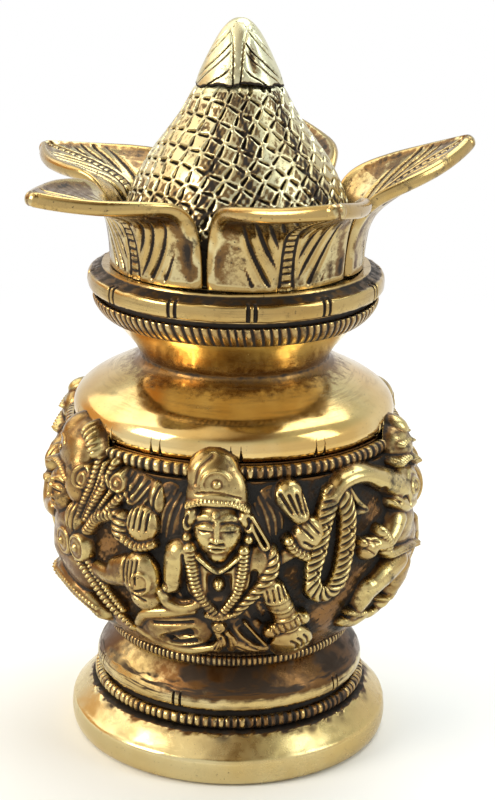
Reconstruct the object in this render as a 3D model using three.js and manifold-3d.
// Brass kalash: a ritual water pot with a lift-off lid in the form of a coconut in five mango leaves.
// Six figures in relief are brazed round the belly, between beaded bands, on a turned pedestal foot.
// Millimetres, +Z up. The origin is the middle of the foot's underside. Azimuth 0 is the -Y side,
// where the front figure sits, and azimuths grow towards +X.
import * as THREE from "three";
import { mergeVertices } from "three/addons/utils/BufferGeometryUtils.js";
import Module from "manifold-3d";

const wasm = await Module();
wasm.setup();

// Driving dimensions, in millimetres and degrees.
const SEAT_GAP = 0.3; // braze gap between a piece and what it sits on
const WALL = 2.8; // cast wall of the pot
const TURNED_STEPS = 30;

const FOOT_RADIUS = 45;
const FOOT_FLOOR = 3;
const FOOT_HEIGHT = 29.6;
const FOOT_WAIST_RADIUS = 31.4;
const FOOT_BAND_SEAT = 36.2;
const FOOT_BAND_Z = FOOT_HEIGHT - 14.2;

const BOWL_FLOOR = 3.2;
const BOWL_HEIGHT = 62.6;
const HEM_BAND_SEAT = FOOT_WAIST_RADIUS + 0.5;
const HEM_BAND_RISE = 2; // a band's middle over or under the bowl's own edge
const BELLY_BAND_DROP = 2.2;

const SHOULDER_RADIUS = 44.2;
const BELLY_BAND_SEAT = SHOULDER_RADIUS - 0.3;
const BELLY_RADIUS = SHOULDER_RADIUS + 5.3;
const NECK_RADIUS = 26;
const NECK_RISE = 16.6; // from the shoulder's underside to the narrowest place
const MOUTH_RISE = 18.6; // from there to the mouth
const MOUTH_RADIUS = 34;
const RIM_RADIUS = MOUTH_RADIUS + 3.2;

const SPIGOT_CLEARANCE = 0.4;
const SPIGOT_LENGTH = 5;
const LID_RING_RADIUS = 40.2;
const LID_RING_HEIGHT = 6.6;
const LID_BORE_RADIUS = 28.6;

const BEAD_HEIGHT = 3.2;
const BEAD_DEPTH = 3.3;
const BEAD_PINCH = 0.9;
const BEAD_COUNT = 26;

const FIRST_LEAF_AZIMUTH = 22;
const LEAF_THICKNESS = 2.8;
const LEAF_SLOT = 2.4; // open slot between the stems of two leaves
const LEAF_BEND_HEIGHT = 14.5;
const MIDRIB_HEIGHT = 0.7;
// Each leaf's reach from the axis and its tip's height over the lid ring.
const LEAVES = [
  { name: "leaf_front", reach: 64.5, rise: 27 },
  { name: "leaf_right", reach: 63.2, rise: 33.6 },
  { name: "leaf_back", reach: 64, rise: 29 },
  { name: "leaf_back_left", reach: 66, rise: 24 },
  { name: "leaf_front_left", reach: 67.4, rise: 25.2 },
];

const COCONUT_RADIUS = 30.6;
const COCONUT_WALL = 2.8;
const COCONUT_HEIGHT = 50;
const COCONUT_TOP_RADIUS = 8.4;
const SCALE_RELIEF = 0.5;
const SCALE_COLUMNS = 46;
const SCALE_ROWS = 8;
const TUFT_OVERLAP = 4.4; // how far the tuft's skirt hangs below the coconut's flat top
const TUFT_HEIGHT = 15;
// The husk's outline from its foot up, in shares of COCONUT_RADIUS and COCONUT_HEIGHT.
const HUSK_OUTLINE = [
  [1, 0],
  [1, 0.24],
  [0.98, 0.32],
  [0.928, 0.41],
  [0.856, 0.5],
  [0.771, 0.59],
  [0.673, 0.67],
  [0.578, 0.75],
  [0.49, 0.83],
];

const FIGURE_RISE = 11.1; // from the bowl's underside to the lowest foot
const CROWN_RISE = 4.5; // from the bowl's top edge to the top of a crown
const FIRST_FIGURE_AZIMUTH = -4;
const FIGURE_COUNT = 6;

const kalash = new THREE.Group();
const polishedBrass = new THREE.MeshStandardMaterial({ color: 0xd8b56a, metalness: 1, roughness: 0.25 });
const antiqueBrass = new THREE.MeshStandardMaterial({ color: 0xb08a48, metalness: 1, roughness: 0.42 });

function addPiece(name, geometry, material) {
  const piece = new THREE.Mesh(geometry, material);
  piece.name = name;
  kalash.add(piece);
}

// A turned solid. The profile is a list of [radius, height] that runs up the outside and back down the
// inside, on the axis at both ends or closed on itself. shape(radius, height, column) sets a vertex's
// radius, for what isn't round.
function turned(profile, steps = TURNED_STEPS, shape = (radius) => radius) {
  const outline = profile.map(([radius, height]) => new THREE.Vector2(radius, height));
  if (profile[0][0] > 0) outline.push(outline[0].clone());
  const geometry = new THREE.LatheGeometry(outline, steps);
  const place = geometry.getAttribute("position");
  for (let i = 0; i < place.count; i++) {
    const { x: radius, y: height } = outline[i % outline.length];
    const column = Math.floor(i / outline.length) % steps;
    const angle = (2 * Math.PI * column) / steps;
    const shaped = radius > 0 ? shape(radius, height, column) : 0;
    place.setXYZ(i, shaped * Math.sin(angle), -shaped * Math.cos(angle), height);
  }
  return geometry;
}

function toSolid(geometry) {
  const bare = geometry.clone();
  bare.deleteAttribute("normal");
  bare.deleteAttribute("uv");
  const merged = mergeVertices(bare);
  return new wasm.Manifold(
    new wasm.Mesh({
      numProp: 3,
      vertProperties: merged.getAttribute("position").array,
      triVerts: new Uint32Array(merged.index.array),
    }),
  );
}

// A cut solid as a geometry, with the tiny edges that a cut leaves drawn together.
const SHORTEST_EDGE = 0.02;
function toGeometry(solid) {
  const mesh = solid.getMesh();
  const cut = new THREE.BufferGeometry();
  cut.setAttribute("position", new THREE.BufferAttribute(mesh.vertProperties, 3));
  cut.setIndex(new THREE.BufferAttribute(mesh.triVerts, 1));
  const geometry = mergeVertices(cut, SHORTEST_EDGE);
  const corners = Array.from(geometry.index.array);
  const faces = [];
  for (let i = 0; i < corners.length; i += 3) {
    const face = corners.slice(i, i + 3);
    if (new Set(face).size === 3) faces.push(...face);
  }
  geometry.setIndex(faces);
  return geometry;
}

// The radius of a profile that climbs, at a height between two of its points.
function radiusAt(profile, height) {
  const next = Math.max(1, profile.findIndex(([, z]) => z >= height));
  const [fromRadius, fromZ] = profile[next - 1];
  const [toRadius, toZ] = profile[next];
  return THREE.MathUtils.mapLinear(height, fromZ, toZ, fromRadius, toRadius);
}

// Beaded bands. Each is a ring with a flat back, pinched in between its beads, and lies in a seat
// that is a gap wider than the band on both sides.
const bandSeatHalf = BEAD_HEIGHT / 2 + SEAT_GAP;
function beadedBand(seatRadius, middle) {
  const back = seatRadius + SEAT_GAP;
  const crown = back + BEAD_DEPTH;
  const section = [
    [back, middle - BEAD_HEIGHT / 2],
    [crown, middle - BEAD_HEIGHT / 4],
    [crown, middle + BEAD_HEIGHT / 4],
    [back, middle + BEAD_HEIGHT / 2],
  ];
  return turned(section, 2 * BEAD_COUNT, (radius, height, column) =>
    radius === crown && column % 2 ? crown - BEAD_PINCH : radius,
  );
}

// The foot: a cup with a flat underside, a heavy flange and a dome that narrows to the waist.
addPiece(
  "foot",
  turned([
    [0, 0],
    [FOOT_RADIUS - 1.4, 0],
    [FOOT_RADIUS, 1.7],
    [FOOT_RADIUS + 0.2, 4.4],
    [FOOT_RADIUS, 7],
    [FOOT_RADIUS - 0.7, 8.7],
    [FOOT_BAND_SEAT + 3.6, FOOT_BAND_Z - bandSeatHalf - 0.6],
    [FOOT_BAND_SEAT + 2.4, FOOT_BAND_Z - bandSeatHalf],
    [FOOT_BAND_SEAT, FOOT_BAND_Z - bandSeatHalf],
    [FOOT_BAND_SEAT, FOOT_BAND_Z + bandSeatHalf + 0.9],
    [FOOT_WAIST_RADIUS + 6.3, FOOT_HEIGHT - 10],
    [FOOT_WAIST_RADIUS + 6.5, FOOT_HEIGHT - 8.8],
    [FOOT_WAIST_RADIUS + 5.1, FOOT_HEIGHT - 5.6],
    [FOOT_WAIST_RADIUS + 2.4, FOOT_HEIGHT - 2.4],
    [FOOT_WAIST_RADIUS, FOOT_HEIGHT],
    [FOOT_WAIST_RADIUS - WALL, FOOT_HEIGHT],
    [FOOT_BAND_SEAT - WALL, FOOT_BAND_Z + 2],
    [FOOT_BAND_SEAT - WALL, FOOT_BAND_Z - bandSeatHalf - WALL / 2],
    [FOOT_RADIUS - 1.6 * WALL, FOOT_FLOOR + 4],
    [FOOT_RADIUS - 1.6 * WALL, FOOT_FLOOR],
    [0, FOOT_FLOOR],
  ]),
  polishedBrass,
);
addPiece("foot_bead_band", beadedBand(FOOT_BAND_SEAT, FOOT_BAND_Z), antiqueBrass);

// The bowl: the belly with its floor, and a seat for a band above and below.
const bowlBottom = FOOT_HEIGHT + SEAT_GAP;
const bowlTop = bowlBottom + BOWL_HEIGHT;
const hemBandZ = bowlBottom + HEM_BAND_RISE;
const bellyBandZ = bowlTop - BELLY_BAND_DROP;
const bellyFoot = hemBandZ + bandSeatHalf;
const bellyTop = bellyBandZ - bandSeatHalf;
const belly = [
  [HEM_BAND_SEAT + 2.4, bellyFoot],
  [BELLY_RADIUS - 11, bowlBottom + 0.106 * BOWL_HEIGHT],
  [BELLY_RADIUS - 6.2, bowlBottom + 0.201 * BOWL_HEIGHT],
  [BELLY_RADIUS - 2.9, bowlBottom + 0.32 * BOWL_HEIGHT],
  [BELLY_RADIUS - 0.6, bowlBottom + 0.457 * BOWL_HEIGHT],
  [BELLY_RADIUS, bowlBottom + 0.623 * BOWL_HEIGHT],
  [BELLY_RADIUS - 0.9, bowlBottom + 0.783 * BOWL_HEIGHT],
  [BELLY_RADIUS - 2.9, bellyTop],
];
const bellyInside = belly.filter((_, i) => i % 2).map(([radius, height]) => [radius - WALL, height]);
addPiece(
  "bowl",
  turned([
    [0, bowlBottom],
    [HEM_BAND_SEAT, bowlBottom],
    [HEM_BAND_SEAT, bellyFoot],
    ...belly,
    [BELLY_BAND_SEAT, bellyTop],
    [BELLY_BAND_SEAT, bowlTop],
    [BELLY_BAND_SEAT - WALL, bowlTop],
    ...bellyInside.toReversed(),
    [HEM_BAND_SEAT - WALL, bowlBottom + BOWL_FLOOR],
    [0, bowlBottom + BOWL_FLOOR],
  ]),
  antiqueBrass,
);
addPiece("hem_bead_band", beadedBand(HEM_BAND_SEAT, hemBandZ), antiqueBrass);
addPiece("belly_bead_band", beadedBand(BELLY_BAND_SEAT, bellyBandZ), antiqueBrass);

// The shoulder and neck: one turned casting from the bowl's edge to the mouth, where the lid seats.
const shoulderBottom = bowlTop + SEAT_GAP;
const neckZ = shoulderBottom + NECK_RISE;
const mouthZ = neckZ + MOUTH_RISE;
const rimSlopeFoot = [RIM_RADIUS - 3.4, mouthZ - 7];
const rimSlopeTop = [RIM_RADIUS, mouthZ - 1.8];
const spigotBottom = mouthZ - SPIGOT_LENGTH;
addPiece(
  "shoulder_and_neck",
  turned([
    [SHOULDER_RADIUS - 0.9, shoulderBottom],
    [SHOULDER_RADIUS - 0.2, shoulderBottom + 1.3],
    [SHOULDER_RADIUS, shoulderBottom + 2.8],
    [SHOULDER_RADIUS - 1.7, shoulderBottom + 6.2],
    [SHOULDER_RADIUS - 6.2, shoulderBottom + 10],
    [NECK_RADIUS + 7, neckZ - 4.3],
    [NECK_RADIUS + 3, neckZ - 2.7],
    [NECK_RADIUS + 0.5, neckZ - 0.9],
    [NECK_RADIUS, neckZ + 0.6],
    [NECK_RADIUS + 1.6, neckZ + 3.8],
    [NECK_RADIUS + 4, neckZ + 6.8],
    [NECK_RADIUS + 6.4, neckZ + 9.7],
    rimSlopeFoot,
    rimSlopeTop,
    [RIM_RADIUS, mouthZ],
    [MOUTH_RADIUS, mouthZ],
    [MOUTH_RADIUS, spigotBottom - SEAT_GAP],
    [NECK_RADIUS - WALL + 2.2, neckZ + 5],
    [NECK_RADIUS - WALL, neckZ + 1.2],
    [NECK_RADIUS + 5.6, neckZ - 6.8],
    [SHOULDER_RADIUS - 4 - WALL, shoulderBottom + 5.8],
    [SHOULDER_RADIUS - 0.9 - WALL, shoulderBottom],
  ]),
  polishedBrass,
);

// The beaded band under the rim follows the flare of the mouth, a gap off its slope.
function slantedBand() {
  const slope = new THREE.Vector2(rimSlopeTop[0] - rimSlopeFoot[0], rimSlopeTop[1] - rimSlopeFoot[1]);
  const along = slope.clone().normalize();
  const outward = new THREE.Vector2(along.y, -along.x);
  const at = (run, depth) => [
    rimSlopeFoot[0] + along.x * run + outward.x * depth,
    rimSlopeFoot[1] + along.y * run + outward.y * depth,
  ];
  const length = slope.length();
  const section = [
    at(0.3, SEAT_GAP),
    at(0.9, BEAD_DEPTH - 0.9),
    at(length - 0.8, BEAD_DEPTH - 0.9),
    at(length - 0.2, SEAT_GAP),
  ];
  const crowns = [section[1][0], section[2][0]];
  return turned(section, 2 * BEAD_COUNT, (radius, height, column) =>
    crowns.includes(radius) && column % 2 ? radius - BEAD_PINCH : radius,
  );
}
addPiece("rim_bead_band", slantedBand(), antiqueBrass);

// The lid ring: a spigot that drops into the mouth, and a round flange that rests on the rim.
const lidBottom = mouthZ + SEAT_GAP;
const lidTop = lidBottom + LID_RING_HEIGHT;
const spigotRadius = MOUTH_RADIUS - SPIGOT_CLEARANCE;
addPiece(
  "lid_ring",
  turned([
    [LID_BORE_RADIUS, spigotBottom],
    [spigotRadius, spigotBottom],
    [spigotRadius, lidBottom],
    [LID_RING_RADIUS - 2.2, lidBottom],
    [LID_RING_RADIUS - 0.5, lidBottom + 1.1],
    [LID_RING_RADIUS, lidBottom + 2.7],
    [LID_RING_RADIUS - 0.5, lidBottom + 4.4],
    [LID_RING_RADIUS - 2.2, lidBottom + 5.6],
    [LID_RING_RADIUS - 3.9, lidTop],
    [LID_BORE_RADIUS, lidTop],
  ]),
  polishedBrass,
);

// A mango leaf stands on the lid ring as one stave of a collar, then bends outwards to its tip.
// It is a slab between two grids of points: s runs from stem to tip, t from edge to edge.
const LEAF_ROWS = 11;
const LEAF_COLUMNS = 4;
const LEAF_SHOULDER = 0.3; // where the blade starts to narrow, as a share of its length
const leafBottom = lidTop + SEAT_GAP;
const stemRadius = COCONUT_RADIUS + SEAT_GAP + 1 + LEAF_THICKNESS / 2;
const stemHalfWidth = (Math.PI / LEAVES.length) * stemRadius - LEAF_SLOT / 2;

function leafLine({ reach, rise }) {
  const bendRadius = stemRadius + 4.6;
  const at = (share, lift) => [
    THREE.MathUtils.lerp(bendRadius, reach, share),
    leafBottom + THREE.MathUtils.lerp(LEAF_BEND_HEIGHT + 1.8, rise, share) + lift,
  ];
  const places = [
    [stemRadius, leafBottom],
    [stemRadius + 0.5, leafBottom + 6],
    [stemRadius + 1.7, leafBottom + 0.8 * LEAF_BEND_HEIGHT],
    at(0, 0),
    at(0.28, 1),
    at(0.62, 0.7),
    at(1, 0),
  ];
  return new THREE.CatmullRomCurve3(places.map(([radius, height]) => new THREE.Vector3(0, -radius, height)));
}

function leafGeometry(leaf, azimuth) {
  const line = leafLine(leaf);
  const grids = { upper: [], lower: [] };
  for (let row = 0; row <= LEAF_ROWS; row++) {
    const s = row / LEAF_ROWS;
    const centre = line.getPointAt(s);
    const along = line.getTangentAt(s);
    const upward = new THREE.Vector3(0, along.z, -along.y);
    const blade = Math.max(0, (s - LEAF_SHOULDER) / (1 - LEAF_SHOULDER));
    const halfWidth = Math.max(stemHalfWidth * (1 + 0.1 * s) * Math.cos((blade * Math.PI) / 2) ** 0.8, 2.8);
    const curl = stemRadius + 120 * Math.max(0, s - LEAF_SHOULDER) ** 1.5;
    for (let column = 0; column <= LEAF_COLUMNS; column++) {
      const t = (2 * column) / LEAF_COLUMNS - 1;
      const turn = (t * halfWidth) / curl;
      const edge = new THREE.Vector3(curl * Math.sin(turn), 0, 0);
      const cup = curl * (1 - Math.cos(turn));
      const half = (LEAF_THICKNESS / 2) * (1 - 0.3 * t * t);
      const rib = column === LEAF_COLUMNS / 2 ? MIDRIB_HEIGHT : 0;
      const middle = centre.clone().add(edge).addScaledVector(upward, cup);
      grids.upper.push(middle.clone().addScaledVector(upward, half));
      grids.lower.push(middle.clone().addScaledVector(upward, -half - rib));
    }
  }
  const slab = slabGeometry(grids.upper, grids.lower, LEAF_ROWS, LEAF_COLUMNS);
  return slab.rotateZ(azimuth);
}

// One closed solid between two grids of points, with a wall along its four edges.
function slabGeometry(upper, lower, rows, columns) {
  const width = columns + 1;
  const faces = [];
  const quad = (a, b, c, d) => faces.push(a, b, c, a, c, d);
  for (let row = 0; row < rows; row++) {
    for (let column = 0; column < columns; column++) {
      const near = row * width + column;
      const far = near + width;
      quad(near, far, far + 1, near + 1);
      quad(upper.length + near, upper.length + near + 1, upper.length + far + 1, upper.length + far);
    }
  }
  const border = [];
  for (let column = 0; column < columns; column++) border.push(column);
  for (let row = 0; row < rows; row++) border.push(row * width + columns);
  for (let column = columns; column > 0; column--) border.push(rows * width + column);
  for (let row = rows; row > 0; row--) border.push(row * width);
  border.forEach((from, i) => {
    const to = border[(i + 1) % border.length];
    quad(from, to, upper.length + to, upper.length + from);
  });
  const geometry = new THREE.BufferGeometry().setFromPoints([...upper, ...lower]);
  geometry.setIndex(faces);
  return geometry;
}

LEAVES.forEach((leaf, i) => {
  const azimuth = THREE.MathUtils.degToRad(FIRST_LEAF_AZIMUTH + (360 / LEAVES.length) * i);
  addPiece(leaf.name, leafGeometry(leaf, azimuth), polishedBrass);
});

// The coconut: a hollow husk, open below, whose rows of lozenge scales stand out by turns.
const coconutTop = leafBottom + COCONUT_HEIGHT;
const husk = [
  ...HUSK_OUTLINE.map(([radius, height]) => [COCONUT_RADIUS * radius, leafBottom + COCONUT_HEIGHT * height]),
  [0.418 * COCONUT_RADIUS, coconutTop - TUFT_OVERLAP],
];
const huskInside = husk
  .filter((_, i) => i % 3 === 1)
  .map(([radius, height]) => [radius - COCONUT_WALL, height - COCONUT_WALL]);
const hollowTop = leafBottom + 0.76 * COCONUT_HEIGHT;
const [[, scalesFrom], [, scalesTo]] = [husk[1], husk.at(-1)];
const scaleRings = Array.from({ length: SCALE_ROWS + 1 }, (_, row) => {
  const height = THREE.MathUtils.lerp(scalesFrom, scalesTo, row / SCALE_ROWS);
  return [radiusAt(husk, height), height];
});
const scaleHeights = scaleRings.slice(1, -1).map(([, height]) => height);
function scaled(radius, height, column) {
  const row = scaleHeights.indexOf(height);
  if (row < 0) return radius;
  return radius + ((row + column) % 2 ? SCALE_RELIEF : -SCALE_RELIEF);
}
addPiece(
  "coconut",
  turned(
    [
      husk[0],
      ...scaleRings,
      [COCONUT_TOP_RADIUS, coconutTop],
      [0, coconutTop],
      [0, hollowTop],
      ...huskInside.toReversed(),
      [COCONUT_RADIUS - COCONUT_WALL, leafBottom],
    ],
    SCALE_COLUMNS,
    scaled,
  ),
  antiqueBrass,
);

// The tuft: a cone of fibres whose jagged skirt hangs over the coconut's top.
const skirtTaper = husk.at(-1)[0] - COCONUT_TOP_RADIUS;
const skirtInside = husk.at(-1)[0] + SEAT_GAP * 1.6;
const tuftSeat = coconutTop + SEAT_GAP;
const skirtFoot = coconutTop - TUFT_OVERLAP + SEAT_GAP;
function jaggedSkirt(geometry) {
  const place = geometry.getAttribute("position");
  for (let i = 0; i < place.count; i++) {
    const azimuth = Math.atan2(place.getX(i), -place.getY(i));
    const notch = 0.5 + 0.5 * Math.cos(9 * azimuth);
    if (Math.abs(place.getZ(i) - skirtFoot) < 0.01) place.setZ(i, skirtFoot + 1.2 * notch);
  }
  return geometry;
}
addPiece(
  "coconut_tuft",
  jaggedSkirt(
    turned([
      [0, tuftSeat],
      [skirtInside - skirtTaper, tuftSeat],
      [skirtInside, skirtFoot],
      [skirtInside + 0.9, skirtFoot],
      [COCONUT_TOP_RADIUS + 2.6, coconutTop + 1],
      [COCONUT_TOP_RADIUS - 0.2, coconutTop + 6],
      [COCONUT_TOP_RADIUS - 3.2, coconutTop + 11],
      [2.2, coconutTop + TUFT_HEIGHT - 0.7],
      [0, coconutTop + TUFT_HEIGHT],
    ]),
  ),
  polishedBrass,
);

// The figures are drawn in units, 56 of them to a figure's height. A place is [across, height, proud]:
// how far across from the figure's middle, the height over its foot, and how far out of the belly.
const figureFoot = bowlBottom + FIGURE_RISE;
const unit = (bowlTop + CROWN_RISE - figureFoot) / 56;
const reliefGround = [
  ...belly,
  [BELLY_BAND_SEAT + 1.6, bowlTop],
  [SHOULDER_RADIUS, shoulderBottom + 4],
];
function onBelly([across, height, proud]) {
  const azimuth = (unit * across) / BELLY_RADIUS;
  const z = figureFoot + unit * height;
  const radius = radiusAt(reliefGround, z) + unit * proud;
  return new THREE.Vector3(radius * Math.sin(azimuth), -radius * Math.cos(azimuth), z);
}

// A rounded mass with half sizes across the belly, up it and out of it.
function mass(place, [halfWidth, halfHeight, halfDepth], sides = 6) {
  const ball = new THREE.SphereGeometry(1, sides, sides - 2);
  ball.rotateX(Math.PI / 2).scale(unit * halfWidth, unit * halfDepth, unit * halfHeight);
  ball.rotateZ((unit * place[0]) / BELLY_RADIUS).translate(...onBelly(place));
  return ball;
}

// A limb: one bent bar on a smooth curve through its places. Its radii, to the middles of its flat
// sides, are spaced evenly along it.
const LIMB_SIDES = 5;
function limb(places, radii) {
  const spine = new THREE.CatmullRomCurve3(places.map(onBelly));
  const rings = places.length;
  const { normals, binormals, tangents } = spine.computeFrenetFrames(rings - 1);
  const points = [];
  const faces = [];
  for (let ring = 0; ring < rings; ring++) {
    const share = (ring / (rings - 1)) * (radii.length - 1);
    const from = Math.min(Math.floor(share), radii.length - 2);
    const flat = unit * THREE.MathUtils.lerp(radii[from], radii[from + 1], share - from);
    const radius = flat / Math.cos(Math.PI / LIMB_SIDES);
    for (let side = 0; side < LIMB_SIDES; side++) {
      const turn = (2 * Math.PI * side) / LIMB_SIDES;
      const spoke = normals[ring].clone().multiplyScalar(radius * Math.cos(turn));
      spoke.addScaledVector(binormals[ring], radius * Math.sin(turn));
      points.push(spine.getPointAt(ring / (rings - 1)).add(spoke));
      const here = ring * LIMB_SIDES + side;
      const beside = ring * LIMB_SIDES + ((side + 1) % LIMB_SIDES);
      if (ring) faces.push(here, here - LIMB_SIDES, beside, beside, here - LIMB_SIDES, beside - LIMB_SIDES);
      else faces.push(beside, here, rings * LIMB_SIDES);
      if (ring === rings - 1) faces.push(here, beside, rings * LIMB_SIDES + 1);
    }
  }
  points.push(spine.getPoint(0).addScaledVector(tangents[0], -0.6 * unit * radii[0]));
  points.push(spine.getPoint(1).addScaledVector(tangents.at(-1), 0.6 * unit * radii.at(-1)));
  return new THREE.BufferGeometry().setFromPoints(points).setIndex(faces);
}

// A garland or a sash: one round cord on a smooth curve through its places.
function cord(places, radius, steps) {
  const thickness = unit * radius;
  const section = new THREE.Shape();
  for (let side = 0; side < LIMB_SIDES; side++) {
    const turn = (2 * Math.PI * side) / LIMB_SIDES;
    section[side ? "lineTo" : "moveTo"](thickness * Math.cos(turn), thickness * Math.sin(turn));
  }
  const extrudePath = new THREE.CatmullRomCurve3(places.map(onBelly));
  return new THREE.ExtrudeGeometry(section, { steps, extrudePath });
}

// A crowned human head with its earrings, whose face is left plain.
function crownedHead(across, height) {
  return [
    mass([across, height, 0.6], [6.4, 7.6, 4.9]),
    mass([across, height + 0.8, 0.2], [9.2, 4.4, 3]),
    mass([across, height + 7.4, 0.6], [8.6, 1.9, 5.2]),
    mass([across - 0.4, height + 11, 0.4], [8.3, 9.4, 4.8]),
  ];
}

// Sits with one leg folded flat and the other knee raised, garlanded, a hand lifted in blessing.
function seatedFigure() {
  return [
    ...crownedHead(0, 36),
    mass([0, 25, 0], [11.8, 6.4, 3.4]),
    mass([0, 15, 0.2], [8.8, 9.6, 2]),
    limb([[-6.8, 28.6, 1.8], [-5.8, 19, 1.6], [0.4, 10, 1.5]], [1.9, 1.6]),
    limb([[6, 28.6, 1.8], [5.4, 19, 1.6], [1.6, 10, 1.5]], [1.8, 1.5]),
    limb([[12.6, 28.6, 1.2], [13, 22, 1.4], [4.4, 12, 1.4]], [2.3, 2.3, 1.6]),
    limb([[-9.8, 28, 0.8], [-13.2, 18.4, 1], [-6.6, 13.4, 1]], [3.6, 3, 2.4]),
    limb([[-3, 10.6, 0.2], [-15, 9, 0.4], [-21.6, 4.6, 0.2]], [2.8, 3.8, 3.2]),
    limb([[-20.6, 3.4, 0.2], [-11, 1, 0.6], [-0.8, 1.8, 0.6]], [2.8, 2.3, 2]),
    limb([[4.6, 9.6, 0.2], [14.8, 19, 0.6], [19.6, 7.8, 0.8]], [3.2, 4, 3.6]),
    mass([22.6, 2.8, 0.4], [4.8, 4.6, 3.8]),
    limb([[3.8, 6.6, 0.4], [9.4, 2.2, 0.6], [15, 0.2, 0.4]], [2.2, 2.4, 2]),
    mass([1.6, 4.6, 0.6], [3, 5.6, 3.4]),
    limb([[9.6, 27.6, 0.2], [16.4, 27.2, 0], [20.2, 30.6, 0.6]], [3.2, 2.3, 2.6]),
    limb([[21.6, 33, 0.8], [21.4, 37.6, 0.8], [20.2, 44, 0.8]], [2.9, 2.6, 2.4]),
  ];
}

// Stands with an elephant's head in profile, whose raised trunk holds a looped garland.
function trunkedFigure() {
  return [
    mass([10, 37.4, 0.2], [11, 7, 4.9], 7),
    mass([21, 34.6, 0.2], [5, 8, 4.4]),
    mass([12.4, 48.4, 0.2], [7.4, 7.4, 4.8]),
    limb([[3.6, 39.8, 0.4], [-8, 45.4, 1.2], [-17, 45, 1.2], [-20.2, 42, 1]], [4.6, 3.2, 2.7, 2.5]),
    cord([[-20.6, 42, 0.6], [-24.8, 29, 0.4], [-26, 19, 0.4], [-22.4, 15.6, 0.4], [-18, 20, 0.4],
      [-16.8, 31, 0.4], [-18, 43, 0.6]], 2.1, 10),
    mass([8.6, 26.4, 0], [9.8, 8.6, 4]),
    mass([14, 19, 0], [9.2, 10.6, 3.8]),
    limb([[4, 30, 1], [-2, 25.6, 1.6], [-7.6, 26.2, 1.6]], [3.6, 3, 2.8]),
    mass([-9.6, 26, 1], [3.4, 3.6, 3.2]),
    limb([[-1.4, 22, 3], [8, 20.6, 3.2], [19, 17.6, 2.6]], [1.9, 1.9]),
    limb([[5.8, 16.6, 0], [-6.6, 12.4, 0.6], [-9.4, 5, 0.6]], [5, 4, 2.8]),
    mass([-8.2, 2.8, 0.6], [5.2, 2.5, 3]),
    limb([[12, 13.4, 0.2], [13.4, 7, 0.4], [10, 1.6, 0.6]], [4.8, 4.2, 3]),
    mass([9.4, -0.4, 0.4], [5, 2.5, 2.8]),
    limb([[17.4, 25, 0.8], [21, 16, 0.8], [20, 5, 0.4]], [2.8, 3.2, 2.6]),
  ];
}

// Kneels with one knee drawn up and a hand held out over it, the other hand raised behind. Three
// braids hang from the crown to the shoulder, over a pair of round flower rosettes.
function kneelingFigure() {
  return [
    ...crownedHead(0, 36),
    mass([7, 43, 0.2], [5.4, 9.4, 4.8]),
    mass([2, 20.6, 0], [11, 13, 3.4], 7),
    limb([[14.4, 48, 0.8], [13.4, 41, 1.2], [10.6, 32.6, 1.4]], [1.7, 1.9, 1.6]),
    limb([[20.4, 47.6, 0.8], [17.6, 41, 1.2], [13.4, 31.8, 1.4]], [1.7, 1.9, 1.6]),
    limb([[26, 44, 0.8], [22.4, 38.4, 1.2], [17.6, 32.4, 1.4]], [1.7, 1.9, 1.6]),
    mass([7.4, 30.2, 0.2], [4, 4.8, 4]),
    mass([3.4, 22.4, 0.6], [4.3, 4.7, 4]),
    mass([10.8, 22.8, 0.6], [4.3, 4.7, 3.4]),
    limb([[13.4, 28.4, 1], [17.4, 33, 1.4], [22.4, 33.8, 1.2]], [2.2, 2]),
    mass([26, 34.4, 0.4], [4.4, 5, 3.6]),
    limb([[-14, 6.8, 0], [-2, 8.4, 0], [8, 4.4, 0]], [4.2, 4.6, 3.8]),
    limb([[9.4, 19, 1.2], [17.4, 10, 1.4], [24.6, 2.8, 1]], [1.8, 2, 1.8]),
    limb([[8, 14, 0.2], [17, 16.6, 0.4], [24, 18.6, 0.6]], [4, 3.6]),
    mass([24.8, 19.4, 0.4], [4.6, 7.4, 4.6]),
    limb([[-8.4, 27, 0.4], [-15.4, 26.4, 0.6], [-18.2, 33, 0.8]], [3.4, 3.4, 3]),
    mass([-19, 37.6, 0.4], [3.6, 4.8, 3.8]),
  ];
}

// What the figures are brazed to: the bowl, its bands and the shoulder's edge, a gap proud.
const reliefSeat = 2 * SEAT_GAP;
const bandProud = SEAT_GAP + BEAD_DEPTH + reliefSeat;
const backing = toSolid(
  turned([
    [0, bowlBottom],
    [HEM_BAND_SEAT + bandProud, bowlBottom],
    [HEM_BAND_SEAT + bandProud, bellyFoot],
    ...belly.slice(1).map(([radius, height]) => [radius + reliefSeat, height]),
    [BELLY_BAND_SEAT + bandProud, bellyTop],
    [BELLY_BAND_SEAT + bandProud, bellyBandZ + bandSeatHalf],
    [SHOULDER_RADIUS + reliefSeat, bellyBandZ + 2 * bandSeatHalf],
    [SHOULDER_RADIUS + reliefSeat, neckZ],
    [0, neckZ],
  ]),
);

const POSES = [seatedFigure, trunkedFigure, kneelingFigure];
for (let i = 0; i < FIGURE_COUNT; i++) {
  const azimuth = FIRST_FIGURE_AZIMUTH + (360 / FIGURE_COUNT) * i;
  const bodies = POSES[i % POSES.length]().map((shape) => toSolid(shape));
  const whole = wasm.Manifold.union(bodies).rotate([0, 0, azimuth]);
  const relief = whole.subtract(backing);
  addPiece(`figure_${i + 1}`, toGeometry(relief), antiqueBrass);
}

export default kalash;
